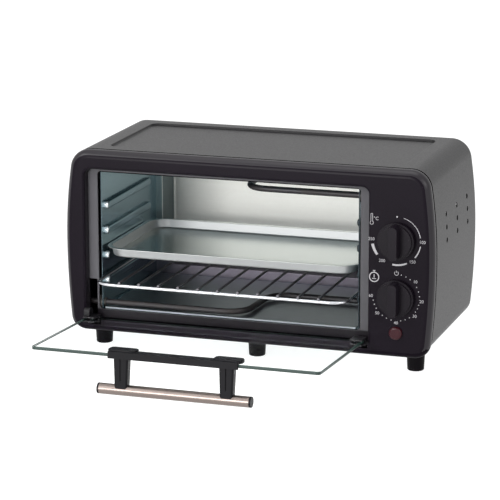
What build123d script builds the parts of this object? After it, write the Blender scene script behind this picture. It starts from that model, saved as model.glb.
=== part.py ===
"""A small countertop toaster oven with its bare glass door let down.

X runs to the right along the front, Y to the back and Z up. The counter is z = 0, and the
origin is on it, under the middle of the oven and its open door. All sizes are millimetres.
"""

import os
from math import cos, radians, sin

from build123d import *

os.makedirs("parts", exist_ok=True)

# Body: a barrel section with a flat top and base and gently bowed sides
body_width = 370.0
body_height = 178.0
foot_height = 23.0
top_bow = 8.2
base_bow = 5.2
top_corner = 20.0
base_corner = 16.0
sheet = 1.0
screw_clearance = 0.1

# Depths, counted back from the front face of the bezel
bezel_depth = 11.5
recess_depth = 10.0
plate_thickness = 2.0
body_depth = 166.0
cavity_depth = 164.5
bulge_depth = 33.0

# Front bezel
bezel_drop = 3.1
bezel_round = 8.0
bezel_back_round = 2.8
recess_round = 3.0
bezel_wall = 3.5
tub_wall = 2.5
wrap_inset = 0.1
wrap_gap = 1.0
frame_gap = 0.4
boss_radius = 4.0
boss_inset = 11.5
boss_spread = 105.0
boss_center_z = 112.0
boss_screw_radius = 1.25
boss_screw_bite = 5.0
boss_screw_head_radius = 3.0
boss_screw_head = 2.0

# Door recess, and the opening and slot in its floor
left_margin = 21.15
control_panel_width = 63.85
recess_top_margin = 18.6
ledge_z = 32.4
recess_corner = 7.0
plate_gap = 0.3
strip_width = 9.9
opening_top_inset = 3.1
opening_base_z = 41.4
opening_corner = 4.0
pocket_width = 15.4
pocket_depth = 4.9
slot_width = 8.5
slot_base_z = 33.0
slot_top_z = 71.5

# Door pane, hinge pins and clips
open_tilt = 3.14
pivot_behind_face = 3.0
pivot_z = 31.5
pane_offset = 3.0
glass_thickness = 3.2
glass_side_gap = 2.8
glass_heel = 2.0
glass_corner = 4.0
pin_radius = 2.0
pin_clearance = 0.06
pin_in_clip = 11.0
pin_out = 5.0
clip_width = 12.0
clip_side_gap = 1.65
clip_reach = 16.0
clip_heel = 1.5
clip_leaf = 1.4
clip_slack = 0.1
hub_radius = 3.2
clip_screw_radius = 1.5
clip_screw_at = 10.0
clip_screw_head_radius = 2.8
clip_screw_head = 1.4
glass_hole_clearance = 0.9
lever_width = 6.0
lever_near = 3.0
lever_far = 13.0
lever_height = 8.0
lever_round = 4.0

# Handle: a moulded base over the pane's edge, two posts and a steel tube
handle_base_width = 126.0
handle_top_gap = 0.4
handle_base_grip = 9.0
handle_base_thickness = 2.0
handle_lip = 2.3
handle_lip_gap = 0.2
handle_lip_drop = 4.4
post_spread = 102.0
post_inset = 5.0
post_top = (14.5, 10.0)
post_foot = (12.3, 9.6)
post_corner = 2.0
post_end = 28.3
post_groove = 1.4
post_groove_depth = 0.9
post_groove_end = 21.0
pad_width = 28.0
pad_length = 13.0
pad_thickness = 3.4
pad_corner = 4.3
pad_inset = 1.5
pad_round = 1.2
bar_drop = 30.3
bar_radius = 5.15
bar_wall = 0.8
bar_length = 149.2
bar_cap = 2.0
bar_plug = 6.0
bar_clearance = 0.05
post_screw_radius = 1.75
post_screw_head_radius = 3.2
post_screw_head = 3.0
post_screw_head_at = 19.0

# Cooking space
cavity_inset = 2.9
cavity_floor_z = 41.6
cavity_roof_inset = 1.3
rib_base_z = 68.2
rib_pitch = 25.0
rib_count = 4
rib_height = 8.0
rib_rise = 4.0
rib_front = 20.0
rib_length = 121.0
rib_round = 2.0
rest_clearance = 0.3
bulge_margin = 7.5
bulge_base_z = 52.0
bulge_top_inset = 8.0
bulge_corner = 15.0
bulge_round = 2.5
bulge_lip_round = 1.4
bulge_gap = 0.5

# Heating elements
element_radius = 3.0
element_bend = 22.0
element_lean = 4.0
element_overrun = 15.0
lower_element_z = 46.5
lower_front_y = 19.5
lower_back_y = 97.0
lower_bend_offset = 13.35
upper_element_drop = 7.5
upper_front_y = 20.0
upper_back_y = 97.0
upper_bend_offset = 15.35
bush_neck_radius = 4.1
bush_flange_radius = 6.4
bush_flange = 4.0
bush_neck_inside = 1.2
bush_clearance = 0.1
tab_length = 9.0
tab_width = 6.3
tab_thickness = 0.8

# Wire rack
rack_wire = 1.5
rack_bar = 1.2
rack_side_gap = 2.1
rack_corner = 16.0
rack_out = 20.0
rack_depth = 150.0
rack_bar_count = 11
rack_bar_pitch = 20.0

# Baking tray
tray_side_gap = 0.9
tray_front = 8.6
tray_length = 143.0
tray_corner = 22.0
tray_rim_width = 3.5
tray_skirt_height = 5.6
tray_depth = 9.5
tray_draft = 2.2
tray_base_round = 2.6
tray_sheet = 0.9

# Crumb tray
crumb_side_gap = 2.5
crumb_front = 13.0
crumb_length = 147.0
crumb_sheet = 0.8
crumb_hem = 4.0

# Controls
dial_inset = 36.0
thermostat_z = 134.0
timer_z = 79.2
lamp_z = 44.8
shaft_radius = 3.0
shaft_hole_clearance = 0.5
shaft_fit = 0.05
shaft_inside = 12.0
shaft_in_knob = 11.0
knob_radius = 17.6
knob_gap = 0.6
knob_skirt = 4.6
knob_shoulder_radius = 15.6
knob_shoulder = 2.0
knob_grip_inset = 0.5
knob_grip_width = 11.0
knob_grip_height = 12.0
knob_grip_taper = 6.0
thermostat_size = (34.0, 30.0, 22.0)
timer_size = (40.0, 40.0, 30.0)
bell_radius = 14.0
bell_depth = 11.0
bell_wall = 1.0
control_corner = 2.0
control_screw_spread = 46.0
control_screw_radius = 1.6
control_screw_head_radius = 3.0
control_screw_head = 1.6
control_strap = 1.2
control_strap_width = 12.0
lamp_stem_radius = 5.4
lamp_flange_radius = 6.4
lamp_flange = 1.2
lamp_dome = 2.2
lamp_clearance = 0.1
lamp_holder_radius = 7.0
lamp_holder_length = 16.0

# Inner leads
lead_radius = 1.4
lead_bend = 8.0
lead_gap = 0.3
lead_spacing = 3.8
live_lead_drop = 7.0
live_lead_side = 7.5
return_lead_rise = 17.8
element_lead_side = 7.0
element_lead_drop = 15.2
lamp_lead_drop = 5.3
link_lead_z = 100.0

# Top panel emboss and side vents
emboss_margin = 37.0
emboss_front = 27.0
emboss_back = 152.0
emboss_depth = 2.0
emboss_corner = 8.0
vent_radius = 2.6
vent_first_y = 51.0
vent_pitch_y = 41.5
vent_center_z = 138.3
vent_pitch_z = 12.6
vent_count = 3

# Rear panel details
rear_slot_count = 6
rear_slot_length = 44.0
rear_slot_height = 3.0
rear_slot_pitch = 9.0
rear_slot_z = 140.0
rear_slot_inset = 40.0
gland_inset = 40.0
gland_z = 60.0
gland_hole_radius = 6.5
gland_flange_radius = 9.5
gland_flange = 3.0
gland_snout_radius = 7.5
gland_snout = 9.0
gland_bore = 3.6
gland_clearance = 0.1
terminal_block_size = (14.0, 34.0, 16.0)
terminal_block_inset = 46.0
terminal_pitch = (7.0, 11.3)
terminal_hole_depth = 8.0
panel_screw_radius = 1.6
panel_screw_head_radius = 3.4
panel_screw_head = 1.6
panel_screw_length = 6.0
panel_screw_inset = 9.0
panel_screw_pitch = 44.5
panel_screw_spread = 185.0

# Base plate and feet
base_inset = 16.5
base_slot_count = 7
base_slot_length = 90.0
base_slot_width = 4.0
base_slot_pitch = 14.0
foot_inset = 9.2
foot_front_y = 36.8
foot_back_inset = 30.0
rear_foot_inset = 38.5
foot_top_radius = 9.2
foot_base_radius = 8.0
foot_round = 1.2
foot_screw_radius = 2.0
foot_screw_head_radius = 3.3
foot_screw_head = 2.6
foot_bore_depth = 14.0
foot_nut_width = 7.0
foot_nut_height = 3.0

# Places worked out from the sizes above
tilt = radians(open_tilt)
base_z = foot_height
top_z = foot_height + body_height
recess_width = body_width - left_margin - control_panel_width
door_x = (left_margin - control_panel_width) / 2
recess_top_z = top_z - recess_top_margin
opening_width = recess_width - 2 * strip_width
opening_top_z = recess_top_z - opening_top_inset
cavity_width = opening_width - 2 * cavity_inset
cavity_roof_z = opening_top_z - cavity_roof_inset
bulge_top_z = cavity_roof_z - bulge_top_inset
upper_element_z = cavity_roof_z - upper_element_drop
glass_width = recess_width - 2 * glass_side_gap
dial_x = body_width / 2 - dial_inset
gland_x = body_width / 2 - gland_inset
rear_slot_x = body_width / 2 - rear_slot_inset
base_half_width = body_width / 2 - base_inset
foot_spread = base_half_width - foot_inset
rear_foot_spread = base_half_width - rear_foot_inset
emboss_width = body_width - 2 * emboss_margin
lower_bend_x = door_x + lower_bend_offset
upper_bend_x = door_x + upper_bend_offset
handle_front_s = recess_top_z - handle_top_gap - pivot_z
glass_reach = handle_front_s - handle_lip - handle_lip_gap
handle_base_rear = glass_reach - handle_base_grip
post_s = glass_reach - post_inset
pad_front_s = glass_reach - pad_inset
door_reach = handle_front_s * cos(tilt) - pivot_behind_face
front_y = (door_reach - cavity_depth - bulge_depth - sheet) / 2
frame_y = front_y + recess_depth + plate_thickness
liner_y = frame_y + sheet
back_y = front_y + body_depth
cavity_back_y = front_y + cavity_depth
cavity_left = door_x - cavity_width / 2
cavity_right = door_x + cavity_width / 2
recess_mid_z = (ledge_z + recess_top_z) / 2
opening_mid_z = (opening_base_z + opening_top_z) / 2
slot_x = door_x - (recess_width - slot_width) / 2
slot_mid_z = (slot_base_z + slot_top_z) / 2
pivot_y = front_y + pivot_behind_face
glass_outer = pane_offset - glass_thickness / 2
glass_inner = pane_offset + glass_thickness / 2
clip_top = glass_inner + clip_slack + clip_leaf
clip_under = glass_outer - clip_slack - clip_leaf
clip_outer_x = recess_width / 2 - clip_side_gap
liner_mid_y = (liner_y + cavity_back_y) / 2
liner_length = cavity_back_y - liner_y

# The open pane's own frame: X across, Y back along the pane and Z out of its upper face
door = Plane(
    origin=(door_x, pivot_y, pivot_z),
    x_dir=(1, 0, 0),
    z_dir=(0, sin(tilt), cos(tilt)),
)


def at_depth(y):
    """Sketch plane at depth y: X across and Z up, extruding towards the front."""
    return Plane.XZ.offset(-y)


def door_side(x):
    """Sketch plane across the pane at x from its middle: Y back along the pane, Z up from it."""
    return Plane(
        origin=(door_x + x, pivot_y, pivot_z),
        x_dir=(0, cos(tilt), -sin(tilt)),
        z_dir=(1, 0, 0),
    )


def barrel(inset, drop=0.0):
    """The body's section, drawn in by inset all round, with its base lowered by drop."""
    half = body_width / 2 - inset
    low = base_z + inset - drop
    high = top_z - inset
    middle = (base_z + top_z) / 2
    with BuildSketch() as section:
        with BuildLine():
            for side in (-1, 1):
                TangentArc((side * half, middle), (side * (half - top_bow), high), tangent=(0, 1))
                TangentArc((side * half, middle), (side * (half - base_bow), low), tangent=(0, -1))
            Line((top_bow - half, high), (half - top_bow, high))
            Line((base_bow - half, low), (half - base_bow, low))
        make_face()
        corners = section.vertices().group_by(Axis.Y)
        fillet(corners[-1], radius=top_corner - inset)
        fillet(section.vertices().group_by(Axis.Y)[0], radius=base_corner - inset)
    return section.sketch


def recess_opening(inset):
    """The door recess with its upper corners rounded, drawn in by inset."""
    with BuildSketch() as opening:
        with Locations((door_x, recess_mid_z)):
            Rectangle(recess_width - 2 * inset, recess_top_z - ledge_z - 2 * inset)
        fillet(opening.vertices().group_by(Axis.Y)[-1], radius=recess_corner - inset)
    return opening.sketch


def recess_outline(inset):
    """The door recess with its two hinge pockets, drawn in by inset."""
    pocket_x = (recess_width - pocket_width) / 2
    with BuildSketch() as outline:
        add(recess_opening(inset))
        with Locations((door_x - pocket_x, ledge_z), (door_x + pocket_x, ledge_z)):
            Rectangle(pocket_width - 2 * inset, 2 * (pocket_depth - inset))
    return outline.sketch


def save(piece, name):
    """Label one finished piece and write it out."""
    piece.part.label = name
    export_step(piece.part, f"parts/{name}.step")


# Front bezel: one moulding with the door recess, the hinge pockets and the control panel
boss_places = [
    (side * (body_width / 2 - boss_inset), boss_center_z + end * boss_spread / 2)
    for side in (-1, 1)
    for end in (-1, 1)
]
with BuildPart() as front_bezel:
    with BuildSketch(at_depth(front_y + bezel_depth)):
        add(barrel(0, bezel_drop))
    extrude(amount=bezel_depth)
    fillet(front_bezel.faces().sort_by(Axis.Y)[0].edges(), radius=bezel_round)
    fillet(front_bezel.faces().sort_by(Axis.Y)[-1].edges(), radius=bezel_back_round)
    with BuildSketch(at_depth(front_y + bezel_depth)):
        add(barrel(bezel_wall, bezel_drop))
    extrude(amount=bezel_depth - bezel_wall, mode=Mode.SUBTRACT)
    tub_height = recess_top_z - ledge_z + pocket_depth + 2 * tub_wall
    with BuildSketch(at_depth(frame_y)):
        with Locations((door_x, recess_mid_z - pocket_depth / 2)):
            Rectangle(recess_width + 2 * tub_wall, tub_height)
        with Locations(*boss_places):
            Circle(boss_radius)
    extrude(amount=recess_depth + plate_thickness - bezel_wall)
    with BuildSketch(at_depth(frame_y)):
        add(recess_opening(0))
    extrude(amount=frame_y - front_y, mode=Mode.SUBTRACT)
    recess_edges = front_bezel.faces().sort_by(Axis.Y)[0].inner_wires().edges()
    fillet(recess_edges.sort_by(Axis.Z)[1:], radius=recess_round)
    with BuildSketch(at_depth(frame_y)):
        add(recess_outline(0))
    extrude(amount=frame_y - front_y, mode=Mode.SUBTRACT)
    for side in (-1, 1):
        wall_x = door_x + side * (recess_width + tub_wall) / 2
        with BuildSketch(Plane.YZ.offset(wall_x)):
            with Locations((pivot_y, pivot_z)):
                Circle(pin_radius + pin_clearance)
        extrude(amount=tub_wall, both=True, mode=Mode.SUBTRACT)
    with BuildSketch(at_depth(front_y + bezel_wall)):
        with Locations((dial_x, thermostat_z), (dial_x, timer_z)):
            Circle(shaft_radius + shaft_hole_clearance)
        with Locations((dial_x, lamp_z)):
            Circle(lamp_stem_radius + lamp_clearance)
    extrude(amount=bezel_wall, mode=Mode.SUBTRACT)
    with BuildSketch(at_depth(frame_y)):
        with Locations(*boss_places):
            Circle(boss_screw_radius + screw_clearance)
    extrude(amount=boss_screw_bite, mode=Mode.SUBTRACT)
save(front_bezel, "front_bezel")

# Recess plate: painted steel, the floor of the recess, with the cooking opening and the slot
with BuildPart() as recess_plate:
    with BuildSketch(at_depth(frame_y)):
        add(recess_outline(plate_gap))
        with Locations((door_x, opening_mid_z)):
            opening_height = opening_top_z - opening_base_z
            RectangleRounded(opening_width, opening_height, opening_corner, mode=Mode.SUBTRACT)
        with Locations((slot_x, slot_mid_z)):
            Rectangle(slot_width, slot_top_z - slot_base_z, mode=Mode.SUBTRACT)
    extrude(amount=plate_thickness)
save(recess_plate, "recess_plate")

# Front frame: a flat steel plate behind the bezel that carries the controls
with BuildPart() as front_frame:
    with BuildSketch(at_depth(liner_y)):
        add(barrel(wrap_inset + sheet + frame_gap))
        with Locations((door_x, (cavity_floor_z + cavity_roof_z) / 2)):
            Rectangle(opening_width, cavity_roof_z - cavity_floor_z, mode=Mode.SUBTRACT)
        with Locations((slot_x, slot_mid_z)):
            Rectangle(slot_width, slot_top_z - slot_base_z, mode=Mode.SUBTRACT)
        with Locations((dial_x, thermostat_z), (dial_x, timer_z)):
            Circle(shaft_radius + shaft_hole_clearance, mode=Mode.SUBTRACT)
        with Locations((dial_x, lamp_z)):
            Circle(lamp_stem_radius + lamp_clearance, mode=Mode.SUBTRACT)
        with Locations(*boss_places):
            Circle(boss_screw_radius + screw_clearance, mode=Mode.SUBTRACT)
    extrude(amount=sheet)
save(front_frame, "front_frame")

with BuildPart() as frame_screws:
    with BuildSketch(at_depth(liner_y)):
        with Locations(*boss_places):
            Circle(boss_screw_radius)
    extrude(amount=boss_screw_bite + sheet - screw_clearance)
    with BuildSketch(at_depth(liner_y + boss_screw_head)):
        with Locations(*boss_places):
            Circle(boss_screw_head_radius)
    extrude(amount=boss_screw_head)
save(frame_screws, "frame_screws")

# Outer wrap: one bent sheet over the top and both sides, with the sunken top panel
emboss_length = emboss_back - emboss_front
emboss_y = front_y + (emboss_front + emboss_back) / 2
with BuildPart() as wrap_space:
    with BuildSketch(at_depth(back_y)):
        add(barrel(wrap_inset + sheet))
    extrude(amount=body_depth)
    with BuildSketch(Plane.XY.offset(top_z - wrap_inset)):
        with Locations((0, emboss_y)):
            RectangleRounded(emboss_width + 2 * sheet, emboss_length + 2 * sheet, emboss_corner + sheet)
    extrude(amount=-emboss_depth - sheet, mode=Mode.SUBTRACT)

wrap_front = front_y + bezel_depth + wrap_gap
with BuildPart() as outer_wrap:
    with BuildSketch(at_depth(back_y)):
        add(barrel(wrap_inset))
    extrude(amount=back_y - wrap_front)
    with BuildSketch(Plane.XY.offset(top_z - wrap_inset)):
        with Locations((0, emboss_y)):
            RectangleRounded(emboss_width, emboss_length, emboss_corner)
    extrude(amount=-emboss_depth, mode=Mode.SUBTRACT)
    add(wrap_space.part, mode=Mode.SUBTRACT)
    with BuildSketch(Plane.XY.offset(base_z)):
        with Locations((0, (wrap_front + back_y) / 2)):
            Rectangle(2 * base_half_width, back_y - wrap_front)
    extrude(amount=wrap_inset + 2 * sheet, mode=Mode.SUBTRACT)
    vent_mid_y = front_y + vent_first_y + vent_pitch_y * (vent_count - 1) / 2
    with BuildSketch(Plane.YZ.offset(body_width / 2)):
        with Locations((vent_mid_y, vent_center_z)):
            with GridLocations(vent_pitch_y, vent_pitch_z, vent_count, vent_count):
                Circle(vent_radius)
    extrude(amount=-top_bow - wrap_inset - 2 * sheet, mode=Mode.SUBTRACT)
save(outer_wrap, "outer_wrap")

# Base plate, flush with the wrap's turned-in edges, with its cooling slots
foot_rows = [(foot_spread, front_y + foot_front_y), (rear_foot_spread, back_y - foot_back_inset)]
foot_places = [(side * spread, y) for spread, y in foot_rows for side in (-1, 0, 1)]
floor_z = base_z + wrap_inset
with BuildPart() as base_plate:
    with BuildSketch(Plane.XY.offset(floor_z)):
        with Locations((0, (liner_y + back_y) / 2)):
            Rectangle(2 * base_half_width, back_y - liner_y)
            with GridLocations(base_slot_pitch, 1, base_slot_count, 1):
                SlotOverall(base_slot_length, base_slot_width, rotation=90, mode=Mode.SUBTRACT)
        with Locations(*foot_places):
            Circle(foot_screw_radius + screw_clearance, mode=Mode.SUBTRACT)
    extrude(amount=sheet)
save(base_plate, "base_plate")

# Rear panel: a flat sheet that closes the housing round the bulge of the cooking space
bulge_width = cavity_width - 2 * bulge_margin
bulge_mid_z = (bulge_base_z + bulge_top_z) / 2
bulge_height = bulge_top_z - bulge_base_z
panel_screw_places = [
    (side * (body_width / 2 - panel_screw_inset), (base_z + top_z) / 2 + step * panel_screw_pitch)
    for side in (-1, 1)
    for step in (-1, 0, 1)
] + [(side * panel_screw_spread / 2, top_z - panel_screw_inset) for side in (-1, 1)]


def bulge_outline(growth):
    """The bulge's rounded outline, grown by growth all round."""
    with BuildSketch() as outline:
        with Locations((door_x, bulge_mid_z)):
            RectangleRounded(bulge_width + 2 * growth, bulge_height + 2 * growth, bulge_corner + growth)
    return outline.sketch


with BuildPart() as rear_panel:
    with BuildSketch(at_depth(back_y + sheet)):
        add(barrel(wrap_inset))
    extrude(amount=sheet)
    with BuildSketch(at_depth(back_y + sheet)):
        add(bulge_outline(sheet + bulge_gap))
        with Locations((rear_slot_x, rear_slot_z)):
            with GridLocations(1, rear_slot_pitch, 1, rear_slot_count):
                SlotOverall(rear_slot_length, rear_slot_height)
        with Locations((gland_x, gland_z)):
            Circle(gland_hole_radius + gland_clearance)
        with Locations(*panel_screw_places):
            Circle(panel_screw_radius + screw_clearance)
    extrude(amount=sheet, mode=Mode.SUBTRACT)
save(rear_panel, "rear_panel")

with BuildPart() as panel_screws:
    with BuildSketch(at_depth(back_y + sheet)):
        with Locations(*panel_screw_places):
            Circle(panel_screw_radius)
    extrude(amount=panel_screw_length)
    with BuildSketch(at_depth(back_y + sheet + panel_screw_head)):
        with Locations(*panel_screw_places):
            Circle(panel_screw_head_radius)
    extrude(amount=panel_screw_head)
save(panel_screws, "panel_screws")

with BuildPart() as cord_gland:
    with BuildSketch(at_depth(back_y + sheet)):
        with Locations((gland_x, gland_z)):
            Circle(gland_hole_radius)
    extrude(amount=sheet)
    with BuildSketch(at_depth(back_y + sheet + gland_flange)):
        with Locations((gland_x, gland_z)):
            Circle(gland_flange_radius)
    extrude(amount=gland_flange)
    with BuildSketch(at_depth(back_y)):
        with Locations((gland_x, gland_z)):
            Circle(gland_snout_radius)
    extrude(amount=gland_snout)
    with BuildSketch(at_depth(back_y + sheet + gland_flange)):
        with Locations((gland_x, gland_z)):
            Circle(gland_bore)
    extrude(amount=sheet + gland_flange + gland_snout, mode=Mode.SUBTRACT)
save(cord_gland, "cord_gland")

with BuildPart() as terminal_block:
    block_width, block_length, block_height = terminal_block_size
    with BuildSketch(Plane.XY.offset(floor_z + sheet)):
        with Locations((gland_x, back_y - terminal_block_inset)):
            Rectangle(block_width, block_length)
    extrude(amount=block_height)
    with BuildSketch(Plane.XY.offset(floor_z + sheet + block_height)):
        with Locations((gland_x, back_y - terminal_block_inset)):
            with GridLocations(*terminal_pitch, 2, 3):
                Circle(panel_screw_radius)
    extrude(amount=-terminal_hole_depth, mode=Mode.SUBTRACT)
save(terminal_block, "terminal_block")

# Cooking space: four galvanised sheets between the front frame and the rear panel
lower_ends = {-1: lower_front_y, 1: lower_back_y}
upper_ends = {-1: upper_back_y, 1: upper_front_y}
wall_low = cavity_floor_z - sheet
wall_high = cavity_roof_z + sheet
for side, name in ((-1, "liner_left"), (1, "liner_right")):
    inner_x = door_x + side * cavity_width / 2
    bush_places = [
        (front_y + lower_ends[side], lower_element_z),
        (front_y + upper_ends[side], upper_element_z),
    ]
    rib_mid = (front_y + rib_front + rib_length / 2, rib_base_z + rib_pitch * (rib_count - 1) / 2)
    with BuildPart() as liner_wall:
        with BuildSketch(Plane.YZ.offset(inner_x)):
            with Locations((liner_mid_y, (wall_low + wall_high) / 2)):
                Rectangle(liner_length, wall_high - wall_low)
        extrude(amount=side * sheet)
        with BuildSketch(Plane.YZ.offset(inner_x)):
            with Locations(rib_mid):
                with GridLocations(1, rib_pitch, 1, rib_count):
                    SlotOverall(rib_length, rib_height)
        extrude(amount=-side * rib_rise)
        outward = Axis.X if side < 0 else -Axis.X
        crowns = liner_wall.faces().filter_by(Axis.X).sort_by(outward)[-rib_count:]
        fillet(crowns.edges(), radius=rib_round)
        with BuildSketch(Plane.YZ.offset(inner_x + side * sheet)):
            with Locations(rib_mid):
                with GridLocations(1, rib_pitch, 1, rib_count):
                    SlotOverall(rib_length - 4 * sheet, rib_height - 4 * sheet)
        extrude(amount=-side * rib_rise, mode=Mode.SUBTRACT)
        with BuildSketch(Plane.YZ.offset(inner_x)):
            with Locations(*bush_places):
                Circle(bush_neck_radius + bush_clearance)
        extrude(amount=side * sheet, mode=Mode.SUBTRACT)
    save(liner_wall, name)

with BuildPart() as liner_floor:
    with BuildSketch(Plane.XY.offset(wall_low)):
        with Locations((door_x, liner_mid_y)):
            Rectangle(cavity_width, liner_length)
    extrude(amount=sheet)
save(liner_floor, "liner_floor")

with BuildPart() as liner_roof:
    with BuildSketch(Plane.XY.offset(cavity_roof_z)):
        with Locations((door_x, liner_mid_y)):
            Rectangle(cavity_width, liner_length)
    extrude(amount=sheet)
save(liner_roof, "liner_roof")

# Back of the cooking space: a pressed sheet whose bulge goes out through the rear panel
with BuildPart() as bulge_space:
    with BuildSketch(at_depth(cavity_back_y)):
        add(bulge_outline(0))
    extrude(amount=-bulge_depth)
    fillet(bulge_space.faces().sort_by(Axis.Y)[-1].edges(), radius=bulge_round)

with BuildPart() as liner_back:
    with BuildSketch(at_depth(cavity_back_y + sheet)):
        with Locations((door_x, (wall_low + wall_high) / 2)):
            Rectangle(cavity_width + 2 * sheet, wall_high - wall_low)
    extrude(amount=sheet)
    with BuildSketch(at_depth(cavity_back_y)):
        add(bulge_outline(sheet))
    extrude(amount=-bulge_depth - sheet)
    fillet(liner_back.faces().sort_by(Axis.Y)[-1].edges(), radius=bulge_round + sheet)
    add(bulge_space.part, mode=Mode.SUBTRACT)
    fillet(liner_back.faces().sort_by(Axis.Y)[0].inner_wires().edges(), radius=bulge_lip_round)
save(liner_back, "liner_back")

# Heating elements: sheathed tubes bent in a flat S, with a ceramic bush in each wall
element_left = cavity_left - element_overrun
element_right = cavity_right + element_overrun
lower_route = [
    (element_left, front_y + lower_front_y),
    (lower_bend_x, front_y + lower_front_y),
    (lower_bend_x + element_lean, front_y + lower_back_y),
    (element_right, front_y + lower_back_y),
]
upper_route = [
    (element_right, front_y + upper_front_y),
    (upper_bend_x, front_y + upper_front_y),
    (upper_bend_x - element_lean, front_y + upper_back_y),
    (element_left, front_y + upper_back_y),
]
for route, height, name in (
    (lower_route, lower_element_z, "lower_element"),
    (upper_route, upper_element_z, "upper_element"),
):
    with BuildPart() as element:
        with BuildLine(Plane.XY.offset(height)) as path:
            FilletPolyline(*route, radius=element_bend)
        with BuildSketch(Plane(origin=path.line @ 0, z_dir=path.line % 0)):
            Circle(element_radius)
        sweep(path=path.line)
    save(element, name)

for ends, height, name in (
    (lower_ends, lower_element_z, "lower_element_bushes"),
    (upper_ends, upper_element_z, "upper_element_bushes"),
):
    with BuildPart() as bushes:
        for side, depth in ends.items():
            wall_x = door_x + side * cavity_width / 2
            with BuildSketch(Plane.YZ.offset(wall_x - side * bush_neck_inside)):
                with Locations((front_y + depth, height)):
                    Circle(bush_neck_radius)
            extrude(amount=side * (bush_neck_inside + sheet))
            with BuildSketch(Plane.YZ.offset(wall_x + side * sheet)):
                with Locations((front_y + depth, height)):
                    Circle(bush_flange_radius)
            extrude(amount=side * bush_flange)
            with BuildSketch(Plane.YZ.offset(wall_x - side * bush_neck_inside)):
                with Locations((front_y + depth, height)):
                    Circle(element_radius + bush_clearance)
            extrude(amount=side * (bush_neck_inside + sheet + bush_flange), mode=Mode.SUBTRACT)
    save(bushes, name)

with BuildPart() as element_tabs:
    for ends, height in ((lower_ends, lower_element_z), (upper_ends, upper_element_z)):
        for side, depth in ends.items():
            end_x = element_left if side < 0 else element_right
            with BuildSketch(Plane.YZ.offset(end_x)):
                with Locations((front_y + depth, height)):
                    Rectangle(tab_thickness, tab_width)
            extrude(amount=side * tab_length)
save(element_tabs, "element_tabs")

# Controls behind the panel: thermostat, bell timer and the neon lamp
for size, height, name in (
    (thermostat_size, thermostat_z, "thermostat_body"),
    (timer_size, timer_z, "timer_body"),
):
    with BuildPart() as control:
        with BuildSketch(at_depth(liner_y + size[2])):
            with Locations((dial_x, height)):
                RectangleRounded(size[0], size[1], control_corner)
        extrude(amount=size[2])
        with BuildSketch(at_depth(liner_y + control_strap)):
            with Locations((dial_x, height)):
                strap_length = control_screw_spread + control_strap_width
                SlotOverall(strap_length, control_strap_width)
                with GridLocations(control_screw_spread, 1, 2, 1):
                    Circle(control_screw_radius + screw_clearance, mode=Mode.SUBTRACT)
        extrude(amount=control_strap)
        with BuildSketch(at_depth(liner_y + shaft_inside)):
            with Locations((dial_x, height)):
                Circle(shaft_radius + shaft_fit)
        extrude(amount=shaft_inside, mode=Mode.SUBTRACT)
    save(control, name)

with BuildPart() as control_screws:
    for height in (thermostat_z, timer_z):
        with BuildSketch(at_depth(liner_y + control_strap)):
            with Locations((dial_x, height)):
                with GridLocations(control_screw_spread, 1, 2, 1):
                    Circle(control_screw_radius)
        extrude(amount=control_strap)
        with BuildSketch(at_depth(liner_y + control_strap + control_screw_head)):
            with Locations((dial_x, height)):
                with GridLocations(control_screw_spread, 1, 2, 1):
                    Circle(control_screw_head_radius)
        extrude(amount=control_screw_head)
save(control_screws, "control_screws")

bell_y = liner_y + timer_size[2]
with BuildPart() as timer_bell:
    with BuildSketch(at_depth(bell_y + bell_depth)):
        with Locations((dial_x, timer_z)):
            Circle(bell_radius)
    extrude(amount=bell_depth)
    with BuildSketch(at_depth(bell_y + bell_depth)):
        with Locations((dial_x, timer_z)):
            Circle(bell_radius - bell_wall)
    extrude(amount=bell_depth - bell_wall, mode=Mode.SUBTRACT)
save(timer_bell, "timer_bell")

for height, name in ((thermostat_z, "temperature"), (timer_z, "timer")):
    shaft_front = front_y - knob_gap - shaft_in_knob
    with BuildPart() as shaft:
        with BuildSketch(at_depth(liner_y + shaft_inside - shaft_fit)):
            with Locations((dial_x, height)):
                Circle(shaft_radius)
        extrude(amount=liner_y + shaft_inside - shaft_fit - shaft_front)
    save(shaft, f"{name}_shaft")

    skirt_y = front_y - knob_gap
    with BuildPart() as knob:
        with BuildSketch(at_depth(skirt_y)):
            with Locations((dial_x, height)):
                Circle(knob_radius)
        extrude(amount=knob_skirt)
        with BuildSketch(at_depth(skirt_y - knob_skirt)):
            with Locations((dial_x, height)):
                Circle(knob_shoulder_radius)
        extrude(amount=knob_shoulder)
        with BuildSketch(at_depth(skirt_y - knob_skirt)):
            with Locations((dial_x, height)):
                SlotOverall(2 * (knob_radius - knob_grip_inset), knob_grip_width, rotation=90)
        extrude(amount=knob_grip_height, taper=knob_grip_taper)
        with BuildSketch(at_depth(skirt_y)):
            with Locations((dial_x, height)):
                Circle(shaft_radius + shaft_fit)
        extrude(amount=shaft_in_knob + shaft_fit, mode=Mode.SUBTRACT)
    save(knob, f"{name}_knob")

with BuildPart() as lamp_lens:
    with BuildSketch(at_depth(frame_y + sheet)):
        with Locations((dial_x, lamp_z)):
            Circle(lamp_stem_radius)
    extrude(amount=frame_y + sheet - front_y)
    with BuildSketch(at_depth(front_y)):
        with Locations((dial_x, lamp_z)):
            Circle(lamp_flange_radius)
    extrude(amount=lamp_flange + lamp_dome)
    fillet(lamp_lens.faces().sort_by(Axis.Y)[0].edges(), radius=lamp_dome)
save(lamp_lens, "lamp_lens")

with BuildPart() as lamp_holder:
    with BuildSketch(at_depth(liner_y + lamp_holder_length)):
        with Locations((dial_x, lamp_z)):
            Circle(lamp_holder_radius)
    extrude(amount=lamp_holder_length)
save(lamp_holder, "lamp_holder")

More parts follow.
